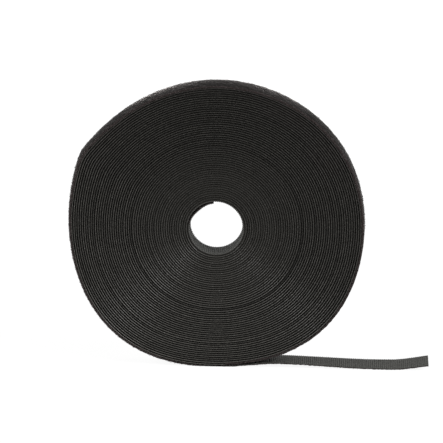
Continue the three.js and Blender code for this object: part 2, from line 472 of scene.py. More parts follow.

# %% [markdown]
# ## Finishes
# The whole tape is black nylon, but it shows many greys. The hook strip is a firm weave with a slight shine,
# and the hollows between its ribs are darkened with painted shade. Its filaments are thicker and shinier. The
# edges of the wound strips are beaded with yarn, and the slots between them are nearly black: dark fibres with
# painted shade. Towards the bore, where the turns are pressed tight, the slots' painted shade and the knit
# edges are lighter and the selvedge darker, so there these greys come together. The loop pile is matt, a
# little brown, with a lighter fringe at its edges: its brown tone with a painted glow of the bright background
# along the outline. It lightens at grazing angles as every brushed cloth does, so it has the shader's own
# sheen.

# %% Helpers for finishes
TIGHT_LENGTH = 9000.0


def finish_named(name, roughness, specular, sheen=0.0, sheen_roughness=0.5, sheen_tint=(1, 1, 1)):
    """A material with its shader and the tape's coordinates; constants sit on the shader's own sockets."""
    material = bpy.data.materials.new(name)
    material.use_nodes = True
    tree = material.node_tree
    shader = tree.nodes["Principled BSDF"]
    shader.inputs["Roughness"].default_value = roughness
    shader.inputs["Specular IOR Level"].default_value = specular
    shader.inputs["Sheen Weight"].default_value = sheen
    shader.inputs["Sheen Roughness"].default_value = sheen_roughness
    shader.inputs["Sheen Tint"].default_value = (*sheen_tint, 1)
    place = tree.nodes.new("ShaderNodeUVMap")
    place.uv_map = TAPE_MAP
    return material, tree, shader, place.outputs["UV"]


def effect(tree, group, place, **values):
    node = tree.nodes.new("ShaderNodeGroup")
    node.node_tree = group
    link(tree, place, node.inputs["Place"])
    for label, value in values.items():
        node.inputs[label].default_value = value
    return node.outputs


def mixed(tree, factor, low, high):
    """A colour between two, by a mask; each end is a colour or a socket."""
    node = tree.nodes.new("ShaderNodeMix")
    node.data_type = "RGBA"
    link(tree, factor, node.inputs["Factor"])
    for slot, colour in ((node.inputs[6], low), (node.inputs[7], high)):
        if isinstance(colour, tuple):
            slot.default_value = (*colour, 1)
        else:
            link(tree, colour, slot)
    return node.outputs[2]


def part_of(tree, mask, share):
    """A mask turned down to a share of itself."""
    return calc(tree, "MULTIPLY", mask, share)


def bump(tree, shader, height, depth_mm):
    node = tree.nodes.new("ShaderNodeBump")
    node.inputs["Strength"].default_value = 1
    node.inputs["Distance"].default_value = depth_mm * MM
    link(tree, height, node.inputs["Height"])
    link(tree, node.outputs["Normal"], shader.inputs["Normal"])


def inner_turns(tree, place, share, outer, inner):
    """A colour that changes towards the bore, where the turns are pressed tight: the slots' painted shade and
    the knit edges get lighter there, and the selvedge darker.
    """
    parts = tree.nodes.new("ShaderNodeSeparateXYZ")
    link(tree, place, parts.inputs[0])
    return mixed(tree, ramp(tree, parts.outputs["X"], 0, TIGHT_LENGTH, share, 0.0), outer, inner)


def tape_edge(tree, place, inside, outside):
    """A mask that rises from zero to one towards both edges of the tape."""
    parts = tree.nodes.new("ShaderNodeSeparateXYZ")
    link(tree, place, parts.inputs[0])
    return ramp(tree, calc(tree, "ABSOLUTE", parts.outputs["Y"]), inside, outside)


# %% Finishes of the hook strip
# Weave colours: the hollow colour is painted shade in the hollows between the ribs.
WEAVE_HOLLOW_SHADE = (0.014, 0.014, 0.0125)
WEAVE_RIB = (0.065, 0.065, 0.058)
WEAVE_PATCH = (0.036, 0.036, 0.032)
WEAVE_LINT = (0.22, 0.21, 0.2)
FILAMENT_DARK = (0.034, 0.034, 0.0305)
FILAMENT_LIGHT = (0.057, 0.057, 0.051)


def make_hook_weave():
    material, tree, shader, place = finish_named("hook_weave", roughness=0.55, specular=0.25)
    weave = effect(tree, WOVEN_RIBS, place, Rib=1.6, Yarn=0.6)
    nap = effect(tree, BRUSHED_NAP, place, Clump=5.0, Fibre=0.3)
    lint = effect(tree, LINT, place, Spacing=7.0)
    # Painted shade: the hollows between the ribs are painted darker, on top of their real relief.
    ribbed = mixed(tree, weave["Ribs"], WEAVE_HOLLOW_SHADE, WEAVE_RIB)
    uneven = mixed(tree, part_of(tree, nap["Clumps"], share=0.3), ribbed, WEAVE_PATCH)
    dusty = mixed(tree, part_of(tree, lint["Lint"], share=0.5), uneven, WEAVE_LINT)
    link(tree, dusty, shader.inputs["Base Color"])
    bump(tree, shader, calc(tree, "ADD", weave["Yarns"], nap["Fibres"]), depth_mm=0.06)
    return material


def make_hook_filament():
    material, tree, shader, place = finish_named("hook_filament", roughness=0.38, specular=0.38)
    nap = effect(tree, BRUSHED_NAP, place, Clump=3.0, Fibre=0.5)
    colour = mixed(tree, nap["Clumps"], FILAMENT_DARK, FILAMENT_LIGHT)
    link(tree, colour, shader.inputs["Base Color"])
    return material


HOOK_WEAVE = make_hook_weave()
HOOK_FILAMENT = make_hook_filament()
print("finishes:", HOOK_WEAVE.name, "and", HOOK_FILAMENT.name)

# %% Finishes of the wound edges
SELVEDGE_DARK = (0.046, 0.0441, 0.0399)
SELVEDGE_LIGHT = (0.082, 0.0786, 0.0712)
SELVEDGE_PATCH = (0.032, 0.0307, 0.0278)
SELVEDGE_TIGHT = (0.038, 0.0364, 0.0330)
SELVEDGE_LINT = (0.2, 0.2, 0.19)
KNIT_DARK = (0.009, 0.0085, 0.0077)
KNIT_LIGHT = (0.026, 0.0245, 0.0221)
KNIT_TIGHT = (0.024, 0.0230, 0.0207)
# Slot colours: nearly black fibres with painted shade, for the recess between one turn and the next.
SLOT_SHADE_DARK = (0.005, 0.0048, 0.0043)
SLOT_SHADE_LIGHT = (0.013, 0.0125, 0.0112)
SLOT_SHADE_TIGHT = (0.022, 0.0211, 0.0190)
# Share of its tight colour that each finish has at the bore
SELVEDGE_CLOSING = 0.75
KNIT_CLOSING = 0.85
SLOT_SHADE_CLOSING = 0.9


def make_selvedge():
    material, tree, shader, place = finish_named("selvedge", roughness=0.4, specular=0.3)
    beads = effect(tree, YARN_BEADS, place, Bead=2.0, Patch=430.0)
    lint = effect(tree, LINT, place, Spacing=9.0)
    plain = mixed(tree, beads["Beads"], SELVEDGE_DARK, SELVEDGE_LIGHT)
    patchy = mixed(tree, part_of(tree, beads["Patches"], share=0.5), plain, SELVEDGE_PATCH)
    tight = inner_turns(tree, place, SELVEDGE_CLOSING, patchy, SELVEDGE_TIGHT)
    dusty = mixed(tree, part_of(tree, lint["Lint"], share=0.4), tight, SELVEDGE_LINT)
    link(tree, dusty, shader.inputs["Base Color"])
    bump(tree, shader, beads["Beads"], depth_mm=0.05)
    return material


def make_knit_edge():
    material, tree, shader, place = finish_named("knit_edge", roughness=0.7, specular=0.12)
    beads = effect(tree, YARN_BEADS, place, Bead=1.3, Patch=23.0)
    knit = mixed(tree, beads["Beads"], KNIT_DARK, KNIT_LIGHT)
    tight = inner_turns(tree, place, KNIT_CLOSING, knit, KNIT_TIGHT)
    link(tree, tight, shader.inputs["Base Color"])
    bump(tree, shader, beads["Beads"], depth_mm=0.1)
    return material


# Painted shade: the slots are painted darker than their recess shades them, and lighter towards the bore.
def make_shaded_slot():
    material, tree, shader, place = finish_named("slot_fibres_and_shade", roughness=0.9, specular=0.03)
    beads = effect(tree, YARN_BEADS, place, Bead=0.9, Patch=11.0)
    fibres = mixed(tree, beads["Beads"], SLOT_SHADE_DARK, SLOT_SHADE_LIGHT)
    tight = inner_turns(tree, place, SLOT_SHADE_CLOSING, fibres, SLOT_SHADE_TIGHT)
    link(tree, tight, shader.inputs["Base Color"])
    bump(tree, shader, beads["Beads"], depth_mm=0.15)
    return material


SELVEDGE = make_selvedge()
KNIT_EDGE = make_knit_edge()
SLOT_FIBRES_AND_SHADE = make_shaded_slot()
print("finishes:", ", ".join(finish.name for finish in (SELVEDGE, KNIT_EDGE, SLOT_FIBRES_AND_SHADE)))

# %% Finishes of the loop pile
PILE_SHEEN_TINT = (1.0, 0.93, 0.91)
PILE_DARK = (0.0067, 0.0060, 0.0057)
PILE_LIGHT = (0.0134, 0.0122, 0.0117)
PILE_WORN = (0.0084, 0.0076, 0.0072)
PILE_LINT = (0.2, 0.19, 0.18)
# The fringe: the pile's brown edge tone, lightened by a painted glow of the bright background along the
# outline.
FRINGE_AND_GLOW_DARK = (0.015, 0.0122, 0.0118)
FRINGE_AND_GLOW_LIGHT = (0.05, 0.0410, 0.0396)
FRINGE_AND_GLOW_BREADTHS = (9.9, 10.5)
YARN_DARK = (0.018, 0.0155, 0.0149)
YARN_LIGHT = (0.036, 0.0310, 0.0298)
YARN_FRINGE_AND_GLOW = (0.09, 0.0730, 0.0705)
YARN_FRINGE_AND_GLOW_BREADTHS = (9.3, 9.8)
CLUMP_STEP = (0.3, 0.7)
FIBRE_STEP = (0.35, 0.65)


def make_loop_nap():
    material, tree, shader, place = finish_named(
        "loop_nap", roughness=0.9, specular=0.05, sheen=1.0, sheen_roughness=0.18, sheen_tint=PILE_SHEEN_TINT
    )
    nap = effect(tree, BRUSHED_NAP, place, Clump=2.6, Fibre=0.4)
    worn = effect(tree, YARN_BEADS, place, Bead=9.0, Patch=60.0)
    lint = effect(tree, LINT, place, Spacing=8.0)
    brushed = mixed(tree, ramp(tree, nap["Clumps"], *CLUMP_STEP), PILE_DARK, PILE_LIGHT)
    uneven = mixed(tree, part_of(tree, worn["Patches"], share=0.4), brushed, PILE_WORN)
    # Painted glow: the pile's edges are painted lighter and browner where the bright background glows along
    # the outline.
    fringe_and_glow = mixed(tree, ramp(tree, nap["Fibres"], *FIBRE_STEP), FRINGE_AND_GLOW_DARK, FRINGE_AND_GLOW_LIGHT)
    with_fringe_glow = mixed(tree, tape_edge(tree, place, *FRINGE_AND_GLOW_BREADTHS), uneven, fringe_and_glow)
    dusty = mixed(tree, part_of(tree, lint["Lint"], share=0.15), with_fringe_glow, PILE_LINT)
    link(tree, dusty, shader.inputs["Base Color"])
    bump(tree, shader, calc(tree, "ADD", nap["Clumps"], nap["Fibres"]), depth_mm=0.1)
    return material


def make_loop_yarn():
    material, tree, shader, place = finish_named("loop_yarn", roughness=0.7, specular=0.25, sheen=0.1)
    nap = effect(tree, BRUSHED_NAP, place, Clump=4.0, Fibre=0.8)
    yarn = mixed(tree, nap["Clumps"], YARN_DARK, YARN_LIGHT)
    # Loops at the pile's edges get the same painted glow.
    with_fringe_glow = mixed(tree, tape_edge(tree, place, *YARN_FRINGE_AND_GLOW_BREADTHS), yarn, YARN_FRINGE_AND_GLOW)
    link(tree, with_fringe_glow, shader.inputs["Base Color"])
    return material


LOOP_NAP = make_loop_nap()
LOOP_YARN = make_loop_yarn()
print("finishes:", LOOP_NAP.name, "and", LOOP_YARN.name)

# %% [markdown]
# ## Carrying a section along the tape
# Every strip is one section, drawn as depth through the tape and breadth across it, carried along the
# tape's line. A curve with a bevel object could do this, but a mesh made from arrays also takes the ribs,
# the winding's wander and the tape's coordinates, and closes both ends. Segments of the section can have
# finishes of their own, so an edge and the slot beside it differ along all 54 turns.

# %% Mesh from arrays, and a section carried along stations
SMOOTH_UNDER = math.radians(50)
BAKE_MAP = "OFBake"
BAKE_SPAN = 0.97


def make_piece(name, points, faces, finishes, finish_index=None, maps=None):
    """A mesh object from points in millimetres, with finishes and corner maps in the order of the faces."""
    mesh = bpy.data.meshes.new(name)
    mesh.from_pydata((points * MM).tolist(), [], faces)
    for finish in finishes:
        mesh.materials.append(finish)
    if finish_index is not None:
        mesh.polygons.foreach_set("material_index", np.asarray(finish_index, np.int32))
    for label, corners in (maps or {}).items():
        layer = mesh.uv_layers.new(name=label)
        layer.uv.foreach_set("vector", np.asarray(corners, np.float32).ravel())
    mesh.shade_smooth()
    mesh.set_sharp_from_angle(angle=SMOOTH_UNDER)
    mesh.update()
    piece = bpy.data.objects.new(name, mesh)
    bpy.context.scene.collection.objects.link(piece)
    return piece


def carry(
    name, stations, lengths, section, finishes, segment_finish, shift=None, lift=0, spread=0, turns=None
):
    """A closed strip of (depth, breadth) points; lift and spread are added to them at each station."""
    face, through = stations
    section = np.asarray(section, float)
    count, corners = len(face), len(section)
    depth = np.broadcast_to(section[:, 0], (count, corners)) + lift
    points = np.empty((count, corners, 3))
    points[:, :, 0] = face[:, :1] + through[:, :1] * depth
    points[:, :, 1] = section[:, 1] + spread + (0 if shift is None else shift[:, None])
    points[:, :, 2] = np.maximum(face[:, 1:] + through[:, 1:] * depth, 0)
    number = np.arange(count * corners).reshape(count, corners)
    ahead = np.roll(number, -1, axis=1)
    quads = np.stack([number[:-1], ahead[:-1], ahead[1:], number[1:]], axis=-1).reshape(-1, 4)
    faces = quads.tolist() + [number[0][::-1].tolist(), number[-1].tolist()]
    sides = np.linalg.norm(np.roll(section, -1, axis=0) - section, axis=1)
    around = np.concatenate([[0], np.cumsum(sides)])
    from_middle = around - sides[:-1].sum() / 2

    def corner_map(start, stop, across):
        shape = (count - 1, corners)
        low, high = np.broadcast_to(across[:-1], shape), np.broadcast_to(across[1:], shape)
        near, far = np.broadcast_to(start[:, None], shape), np.broadcast_to(stop[:, None], shape)
        quad = np.stack([near, low, near, high, far, high, far, low], axis=-1)
        caps = np.stack([np.full(2 * corners, start[0]), np.tile(across[:-1], 2)], axis=-1)
        return np.concatenate([quad.reshape(-1), caps.reshape(-1)])

    maps = {TAPE_MAP: corner_map(lengths[:-1], lengths[1:], from_middle)}
    if turns is not None:
        share = turns[:-1] % 1
        maps[BAKE_MAP] = BAKE_SPAN * corner_map(share, share + np.diff(turns), around / around[-1])
    finish_index = np.concatenate([np.tile(segment_finish, count - 1), [segment_finish[0]] * 2])
    return make_piece(name, points.reshape(-1, 3), faces, finishes, finish_index, maps)


# %% [markdown]
# ## The wound strips
# On a real roll the turns aren't flush: each pass wanders sideways by a tenth of a millimetre or so, and the
# light catches it. A sum of slow waves along the tape gives the same drift every time the script runs.
# The stations lie closer on tight turns, so that every turn is equally round for the fewest faces.

# %% Stations of the roll and the winding's wander
ROUNDNESS = 0.03
WANDER = 0.16
WANDER_WAVES = ((0.37, 0.7), (0.29, 0.6), (0.17, 0.6), (1.13, 0.3), (2.6, 0.2), (6.3, 0.15))
SET_BACK = ((26.5, 0.35), (28.5, 0.5))
SET_BACK_WIDTH = 0.4
LEAD_LENGTH = 12.0
STEADY_LENGTH = 200.0
SEED = 11
rng = np.random.default_rng(SEED)
wander_phases = rng.uniform(0, FULL_TURN, len(WANDER_WAVES))


def turn_angles(start, stop):
    """Angles whose chords stay within the roundness of the true line."""
    angles = [start]
    while angles[-1] < stop:
        angles.append(angles[-1] + math.sqrt(8 * ROUNDNESS / bare_radius(angles[-1])))
    angles[-1] = stop
    return np.array(angles)


def wound_length(angle):
    """Length of tape from its inner end to an angle, on a round spiral."""
    return (bare_radius(angle) ** 2 - BORE_RADIUS**2) * math.pi / PITCH


def length_angle(lengths):
    """The angle at which the wound tape has a length; the inverse of wound_length."""
    radius = np.sqrt(BORE_RADIUS**2 + lengths * PITCH / math.pi)
    return TAPE_START + (radius - BORE_RADIUS) * FULL_TURN / PITCH


def wander(lengths):
    """Sideways drift of the wound tape: waves in cycles a turn, and two turns that are set back."""
    turn = (length_angle(lengths) - TAPE_START) / FULL_TURN
    waves = zip(WANDER_WAVES, wander_phases)
    drift = WANDER * sum(
        share * np.sin(FULL_TURN * cycles * turn + phase) for (cycles, share), phase in waves
    )
    for middle, depth in SET_BACK:
        drift = drift + depth * np.exp(-(((turn - middle) / SET_BACK_WIDTH) ** 4))
    return drift * np.clip((wound_length(ROLL_STOP) - lengths) / STEADY_LENGTH, 0, 1)


FLAP_LENGTH = 20.0
FLAP_ROOT = TAPE_START + FLAP_LENGTH / BORE_RADIUS
SEAM_PAST_ROOT = math.radians(20)
FLAP_SEAM = FLAP_ROOT + SEAM_PAST_ROOT
ROLL_STOP = TAPE_END - LEAD_LENGTH / (RIM_RADIUS - TAPE_THICKNESS)
RIM_START = ROLL_STOP - FULL_TURN
OPEN_STOP = FLAP_SEAM + FULL_TURN
station_count = len(turn_angles(FLAP_SEAM, ROLL_STOP))
print(f"{wound_length(TAPE_END) * MM:.1f} m of tape on the roll, {station_count} stations")

# %% [markdown]
# A turn seen from its edge is a sandwich. The hook strip's backing stands furthest out, then the loop
# strip's backing, and between one turn and the next is the slot where hooks sit in loops. Inside the roll
# nobody sees that slot's depth, so a plain bed fills it, set back from the edge. Hooks and loops could fill
# it as they do in the real roll, but they would cost millions of faces that stay hidden. The slots are
# deepest in the loose outer turns.

# %% Sections of the two strips
HALF = TAPE_WIDTH / 2
HOOK_BED = 9.45
HOOK_FACE = 0.4
BACKING_JOIN = 0.86
PILE_ROOT = 1.2
PILE_TOP = 1.76
# Radii, and the depth of the slots there as a share of the section's own
SLOT_DEPTHS = ((22, 45, 80, 118), (1.0, 1.0, 1.05, 1.2))


def both_edges(edge):
    """A whole section from the points of its front edge, inside to outside."""
    return [(depth, -breadth) for depth, breadth in edge] + list(reversed(edge))


HOOK_EDGE = [
    (0.42, HALF - 0.42), (0.52, HALF - 0.24), (0.66, HALF - 0.1), (0.84, HALF), (BACKING_JOIN, HALF),
]
BED_OVERLAP = 0.06
WOUND_HOOK = both_edges([(PILE_TOP - PITCH - BED_OVERLAP, HOOK_BED), (HOOK_FACE, HOOK_BED), *HOOK_EDGE])
LOOP_EDGE = [
    (BACKING_JOIN, HALF - 0.1), (BACKING_JOIN + 0.06, HALF - 0.03), (PILE_ROOT - 0.06, HALF - 0.07),
]
PILE_EDGE = [(PILE_ROOT, HALF - 0.16), (PILE_ROOT + 0.15, HALF - 0.28), (PILE_TOP, HALF - 0.36)]
WOUND_LOOP = both_edges([*LOOP_EDGE, *PILE_EDGE])
EDGE, SLOT, BROAD = range(3)


def mirrored_finish(front, back_join, far):
    """Finishes of a section's segments: the front edge, the far side, the back edge and the closing side."""
    return [*front, far, *reversed(front), back_join]


def stand_for(nodes):
    """Hide the nodes of the frame whose place a piece takes."""
    if nodes:
        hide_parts(*nodes)


def replace_on(piece, body, slot, *nodes):
    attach(piece, body)
    stand_for(nodes)


def closed_edges(angles, section):
    """Breadth by which the set-back points of a section move at each angle, as the slots get deeper."""
    breadths = np.asarray(section)[:, 1]
    set_back = (HALF - np.abs(breadths)) * np.sign(breadths)
    looseness = np.interp(bare_radius(angles), *SLOT_DEPTHS)
    return (1 - looseness)[:, None] * set_back


def wound(name, start, stop, section, segment_finish, finishes):
    angles = turn_angles(start, stop)
    lengths = wound_length(angles)
    return carry(
        name, roll_stations(angles), lengths, section, finishes, segment_finish,
        shift=wander(lengths), spread=closed_edges(angles, section), turns=(angles - start) / FULL_TURN,
    )


# %% Wind them
hook_finish = mirrored_finish([SLOT, *[EDGE] * len(HOOK_EDGE)], SLOT, BROAD)
loop_finish = mirrored_finish([EDGE, EDGE, EDGE, SLOT, SLOT], BROAD, SLOT)
wound_hook = wound(
    "wound_hook_strip", OPEN_STOP, ROLL_STOP, WOUND_HOOK, hook_finish, [SELVEDGE, SLOT_FIBRES_AND_SHADE, HOOK_WEAVE]
)
wound_loop = wound(
    "wound_loop_strip", FLAP_SEAM, RIM_START, WOUND_LOOP, loop_finish, [KNIT_EDGE, SLOT_FIBRES_AND_SHADE, LOOP_NAP]
)
replace_on(wound_hook, "roll", "wound_edge", "inner_turns", "winding_hook")
replace_on(wound_loop, "roll", "wound_edge")
print("wound strips:", [len(o.data.polygons) for o in (wound_hook, wound_loop)], "faces")

# %% [markdown]
# ## The ribbed hook strip
# Where the hook strip shows, on the bore's wall and along the tail, its weave has a rib under every row of
# hooks. The ribs are real relief: each station is lifted by a wave of the tape's length. The mesh needs six
# or more stations to a rib, which a short stretch can afford and 25 metres can't.

# %% Ribs and open hook strips
ROW_PITCH = 1.6
RIB_HEIGHT = 0.2
OPEN_FACE = 0.22
STATIONS_PER_ROW = 8
OPEN_BREADTHS = (HALF - 0.75, HALF * 0.5, 0.0)
EDGE_RIBBING = 0.6
FACE = 1


def rib_lift(lengths):
    """Depth by which the hook face drops between two rows of hooks."""
    return RIB_HEIGHT * (0.5 - 0.5 * np.cos(FULL_TURN * lengths / ROW_PITCH))


def open_hook_section():
    """Backing with points across its hook face, so that the face can take the ribs."""
    edge = [
        (OPEN_FACE, HALF - 0.14), (OPEN_FACE + 0.1, HALF - 0.02),
        (BACKING_JOIN - 0.08, HALF), (BACKING_JOIN, HALF - 0.06),
    ]
    face = [(OPEN_FACE, b) for b in OPEN_BREADTHS] + [(OPEN_FACE, -b) for b in reversed(OPEN_BREADTHS[:-1])]
    return both_edges(edge) + face, 2 * len(edge)


def open_hook_strip(name, stations, lengths, shift=None):
    section, edge_count = open_hook_section()
    ribbed = np.zeros(len(section))
    ribbed[edge_count:] = 1
    ribbed[[0, edge_count - 1]] = EDGE_RIBBING
    finish = [EDGE, EDGE, EDGE, FACE, EDGE, EDGE, EDGE] + [FACE] * (len(section) - edge_count + 1)
    lift = rib_lift(lengths)[:, None] * ribbed
    return carry(name, stations, lengths, section, [SELVEDGE, HOOK_WEAVE], finish, shift=shift, lift=lift)


def row_steps(start, stop):
    return np.linspace(start, stop, int((stop - start) / ROW_PITCH * STATIONS_PER_ROW) + 2)


bore_lengths = row_steps(wound_length(FLAP_SEAM), wound_length(OPEN_STOP))
bore_stations = roll_stations(length_angle(bore_lengths))
bore_strip = open_hook_strip("bore_hook_strip", bore_stations, bore_lengths, wander(bore_lengths))
replace_on(bore_strip, "roll", "hook_strip", "start_turn_hook")
bore_round = round(bore_lengths[-1] - bore_lengths[0])
print("bore strip:", len(bore_strip.data.polygons), "faces,", bore_round, "mm round")

# %% [markdown]
# ## The hooks
# A hook is a nylon filament a fifth of a millimetre thick: a stem that bends over and points back at the
# weave. They stand in rows, thirteen to the row, and neighbours in a row point opposite ways, so the tape
# holds in both directions. Hair particles could make them, but one hook as a tube along seven points,
# planted again and again as real mesh, also exports.

# %% A filament, and planting many of them
HOOK_LINE = [
    (-0.1, 0.0), (-0.1, 0.28), (-0.06, 0.46), (0.04, 0.59), (0.18, 0.6), (0.28, 0.49), (0.31, 0.36),
]
HOOK_RADIUS = 0.1
HOOK_SIDES = 5
HOOKS_PER_ROW = 13
HOOK_MARGIN = 1.1
HOOK_JITTER = 0.12
HOOK_ROOT = OPEN_FACE + 0.06
HOOK_SIZES = (0.9, 1.08)
AHEAD_STEP = 0.2


def filament(line, radius, sides):
    """Points and faces of a closed tube along a line in the plane of the tape's length and height."""
    line = np.asarray(line, float)
    tangent = np.gradient(line, axis=0)
    tangent /= np.linalg.norm(tangent, axis=1, keepdims=True)
    turn = FULL_TURN * np.arange(sides) / sides
    along = line[:, :1] - radius * np.cos(turn) * tangent[:, 1:]
    up = line[:, 1:] + radius * np.cos(turn) * tangent[:, :1]
    across = np.broadcast_to(radius * np.sin(turn), along.shape)
    points = np.stack([along, across, up], axis=-1).reshape(-1, 3)
    number = np.arange(len(points)).reshape(len(line), sides)
    ahead = np.roll(number, -1, axis=1)
    quads = np.stack([number[:-1], number[1:], ahead[1:], ahead[:-1]], axis=-1).reshape(-1, 4).tolist()
    return points, quads + [number[0].tolist(), number[-1][::-1].tolist()]


def plant(name, pattern, bases, alongs, ups, sizes, coordinates, finish):
    """Copies of a filament, each at a base with its own direction, upright and size."""
    points, faces = pattern
    acrosses = np.cross(ups, alongs)
    moved = (
        points[None, :, :1] * alongs[:, None]
        + points[None, :, 1:2] * acrosses[:, None]
        + points[None, :, 2:] * ups[:, None]
    )
    placed = bases[:, None] + moved * sizes[:, None, None]
    every = [[i + k * len(points) for i in face] for k in range(len(bases)) for face in faces]
    corners = sum(len(face) for face in faces)
    tape_map = np.repeat(coordinates, corners, axis=0)
    return make_piece(name, placed.reshape(-1, 3), every, [finish], maps={TAPE_MAP: tape_map})


HOOK = filament(HOOK_LINE, HOOK_RADIUS, HOOK_SIDES)


def wound_stations(lengths):
    """Stations of the wound tape by length, as tail_stations gives those of the tail."""
    return roll_stations(length_angle(lengths))


def way_ahead(stations_at, lengths):
    """Direction of the tape's line at each length."""
    ahead = stations_at(lengths + AHEAD_STEP)[0] - stations_at(lengths - AHEAD_STEP)[0]
    return ahead / np.linalg.norm(ahead, axis=1, keepdims=True)


def hook_rows(name, stations_at, start, stop, shift_at=None):
    """Rows of hooks on a stretch of tape; stations_at gives stations by length."""
    rows = np.arange(math.ceil(start / ROW_PITCH), math.floor(stop / ROW_PITCH) + 1) * ROW_PITCH
    rows = rows[(rows > start + HOOK_RADIUS) & (rows < stop - HOOK_RADIUS)]
    face, through = stations_at(rows)
    ahead = way_ahead(stations_at, rows)
    breadths = np.linspace(-1, 1, HOOKS_PER_ROW) * (HALF - HOOK_MARGIN)
    count = (len(rows), HOOKS_PER_ROW)
    lean = np.broadcast_to(np.where(np.arange(HOOKS_PER_ROW) % 2 == 0, 1.0, -1.0), count).reshape(-1, 1)
    jitter = rng.uniform(-HOOK_JITTER, HOOK_JITTER, count)
    root = face + through * HOOK_ROOT
    bases = np.stack([
        np.broadcast_to(root[:, :1], count),
        breadths + jitter + (0 if shift_at is None else shift_at(rows)[:, None]),
        np.broadcast_to(root[:, 1:], count),
    ], axis=-1).reshape(-1, 3)
    flat = np.zeros(len(rows))
    alongs = np.stack([ahead[:, 0], flat, ahead[:, 1]], axis=-1)
    ups = np.stack([-through[:, 0], flat, -through[:, 1]], axis=-1)
    ups /= np.linalg.norm(ups, axis=1, keepdims=True)
    rows_each, alongs, ups = (np.repeat(values, HOOKS_PER_ROW, axis=0) for values in (rows, alongs, ups))
    coordinates = np.stack([rows_each, bases[:, 1]], axis=-1)
    sizes = rng.uniform(*HOOK_SIZES, len(bases))
    return plant(name, HOOK, bases, alongs * lean, ups, sizes, coordinates, HOOK_FILAMENT)


bore_hooks = hook_rows("bore_hooks", wound_stations, bore_lengths[0], bore_lengths[-1], wander)
replace_on(bore_hooks, "roll", "hook_strip")
print("bore hooks:", len(bore_hooks.data.polygons), "faces")

# %% [markdown]
# ## The rim
# The outermost turn shows the loop strip's pile all the way round. Nothing presses on it there, so it has
# sprung up: its top is rounded, and its edges swell out over the sides of the tape. Near the peel line and
# along the tail it is pressed lower. A displacement texture could raise clumps on a plain strip, but here
# the section itself changes with a freedom from zero to one, and a sum of waves moves its points, so the
# clumps reach round the edges too. Under the roll the pile is flat: no point goes below the floor.

# %% Nap relief and the open loop strip
NAP_STEP = 0.8
NAP_HEIGHT = 0.13
NAP_COLUMNS = 22
RIM_PILE_TOP = 1.95
RIM_DOME = 0.7
FLAT_DOME = 0.25
SHOULDER = 0.3
TAIL_FREEDOM = 0.3
FREE_LENGTH = 60.0
PILE_HALF = HALF - 0.4
SHOULDER_POWER = 9
NAP_WAVES = 60
NAP_FREQUENCIES = (1.3, 1.5)
nap_waves = rng.normal(size=(NAP_WAVES, 2)) * np.array(NAP_FREQUENCIES)
nap_phases = rng.uniform(0, FULL_TURN, NAP_WAVES)


def nap_relief(lengths, breadths):
    """Clumps of the pile: a sum of waves in many directions, about one high."""
    at = lengths[:, None, None] * nap_waves[:, 0] + breadths[None, :, None] * nap_waves[:, 1]
    return np.cos(at + nap_phases).sum(axis=-1) / math.sqrt(len(nap_phases))


# The pile's edge where it hangs free and where it is pressed, and how far the clumps move its points
FREE_EDGE = np.array([(0.86, 9.9), (-0.53, 10.08), (-0.15, 10.31), (0.67, 10.4), (1.12, 10.22)])
PRESSED_EDGE = np.array([(0.86, 9.9), (0.92, 9.97), (1.05, 9.95), (1.12, 9.88), (1.16, 9.78)])
EDGE_CLUMPS = np.array([(0.0, 0.0), (0.4, 0.0), (0.3, 0.1), (0.2, 0.16), (0.12, 0.14)])


def pile_depth(breadths, freedom):
    """Depth of the pile's top: low and flat where it is pressed (0), high and round where it is free (1)."""
    top = PILE_TOP + freedom * (RIM_PILE_TOP - PILE_TOP)
    dome = FLAT_DOME + freedom * (RIM_DOME - FLAT_DOME)
    return top - dome * (breadths / PILE_HALF) ** 2


def pile_section(edge, freedom):
    """Points round the front edge, over the pile and round the back edge."""
    share = np.linspace(-1, 1, NAP_COLUMNS)
    breadths = PILE_HALF * share + freedom * SHOULDER * share**SHOULDER_POWER
    pile = np.stack([pile_depth(breadths, freedom), breadths], axis=-1)
    return np.concatenate([edge * (1, -1), pile, edge[::-1]])


def open_loop_strip(name, stations, lengths, shift=None, freedom=TAIL_FREEDOM):
    """The loop strip with its pile as relief, pressed where its freedom is small."""
    freedom = np.broadcast_to(freedom, lengths.shape)[:, None]
    section = pile_section(FREE_EDGE, 1.0)
    pressed = pile_section(PRESSED_EDGE, 0.0) - section
    steps = np.linalg.norm(np.diff(section, axis=0), axis=1)
    clumps = nap_relief(lengths, np.concatenate([[0], np.cumsum(steps)]))
    pile_clumps = np.tile((NAP_HEIGHT, 0.0), (NAP_COLUMNS, 1))
    edge_clumps = EDGE_CLUMPS * freedom.max()
    moves = np.concatenate([edge_clumps * (1, -1), pile_clumps, edge_clumps[::-1]])
    lift = (1 - freedom) * pressed[:, 0] + clumps * moves[:, 0]
    spread = (1 - freedom) * pressed[:, 1] + clumps * moves[:, 1]
    finish = [EDGE] + [FACE] * (len(section) - 3) + [EDGE, FACE]
    return carry(name, stations, lengths, section, [KNIT_EDGE, LOOP_NAP], finish, shift, lift, spread)


rim_lengths = np.arange(wound_length(RIM_START), wound_length(ROLL_STOP), NAP_STEP)
rim_lengths[-1] = wound_length(ROLL_STOP)
rim_freedom = np.clip((rim_lengths[-1] - rim_lengths) / FREE_LENGTH, TAIL_FREEDOM, 1)
rim_stations = wound_stations(rim_lengths)
rim_strip = open_loop_strip("rim_loop_strip", rim_stations, rim_lengths, wander(rim_lengths), rim_freedom)
replace_on(rim_strip, "roll", "loop_strip", "winding_loop", "start_turn_loop")
print("rim:", len(rim_strip.data.polygons), "faces,", round(rim_lengths[-1] - rim_lengths[0]), "mm round")

# %% [markdown]
# Single loops still stand out of the pile and soften its outline. They are short arcs of yarn, turned any
# way, rooted in the nap on the rim and along both edges of the strip. Where the tail lies back on the rim
# its hooks have combed the loops short, which also leaves the tail room there.

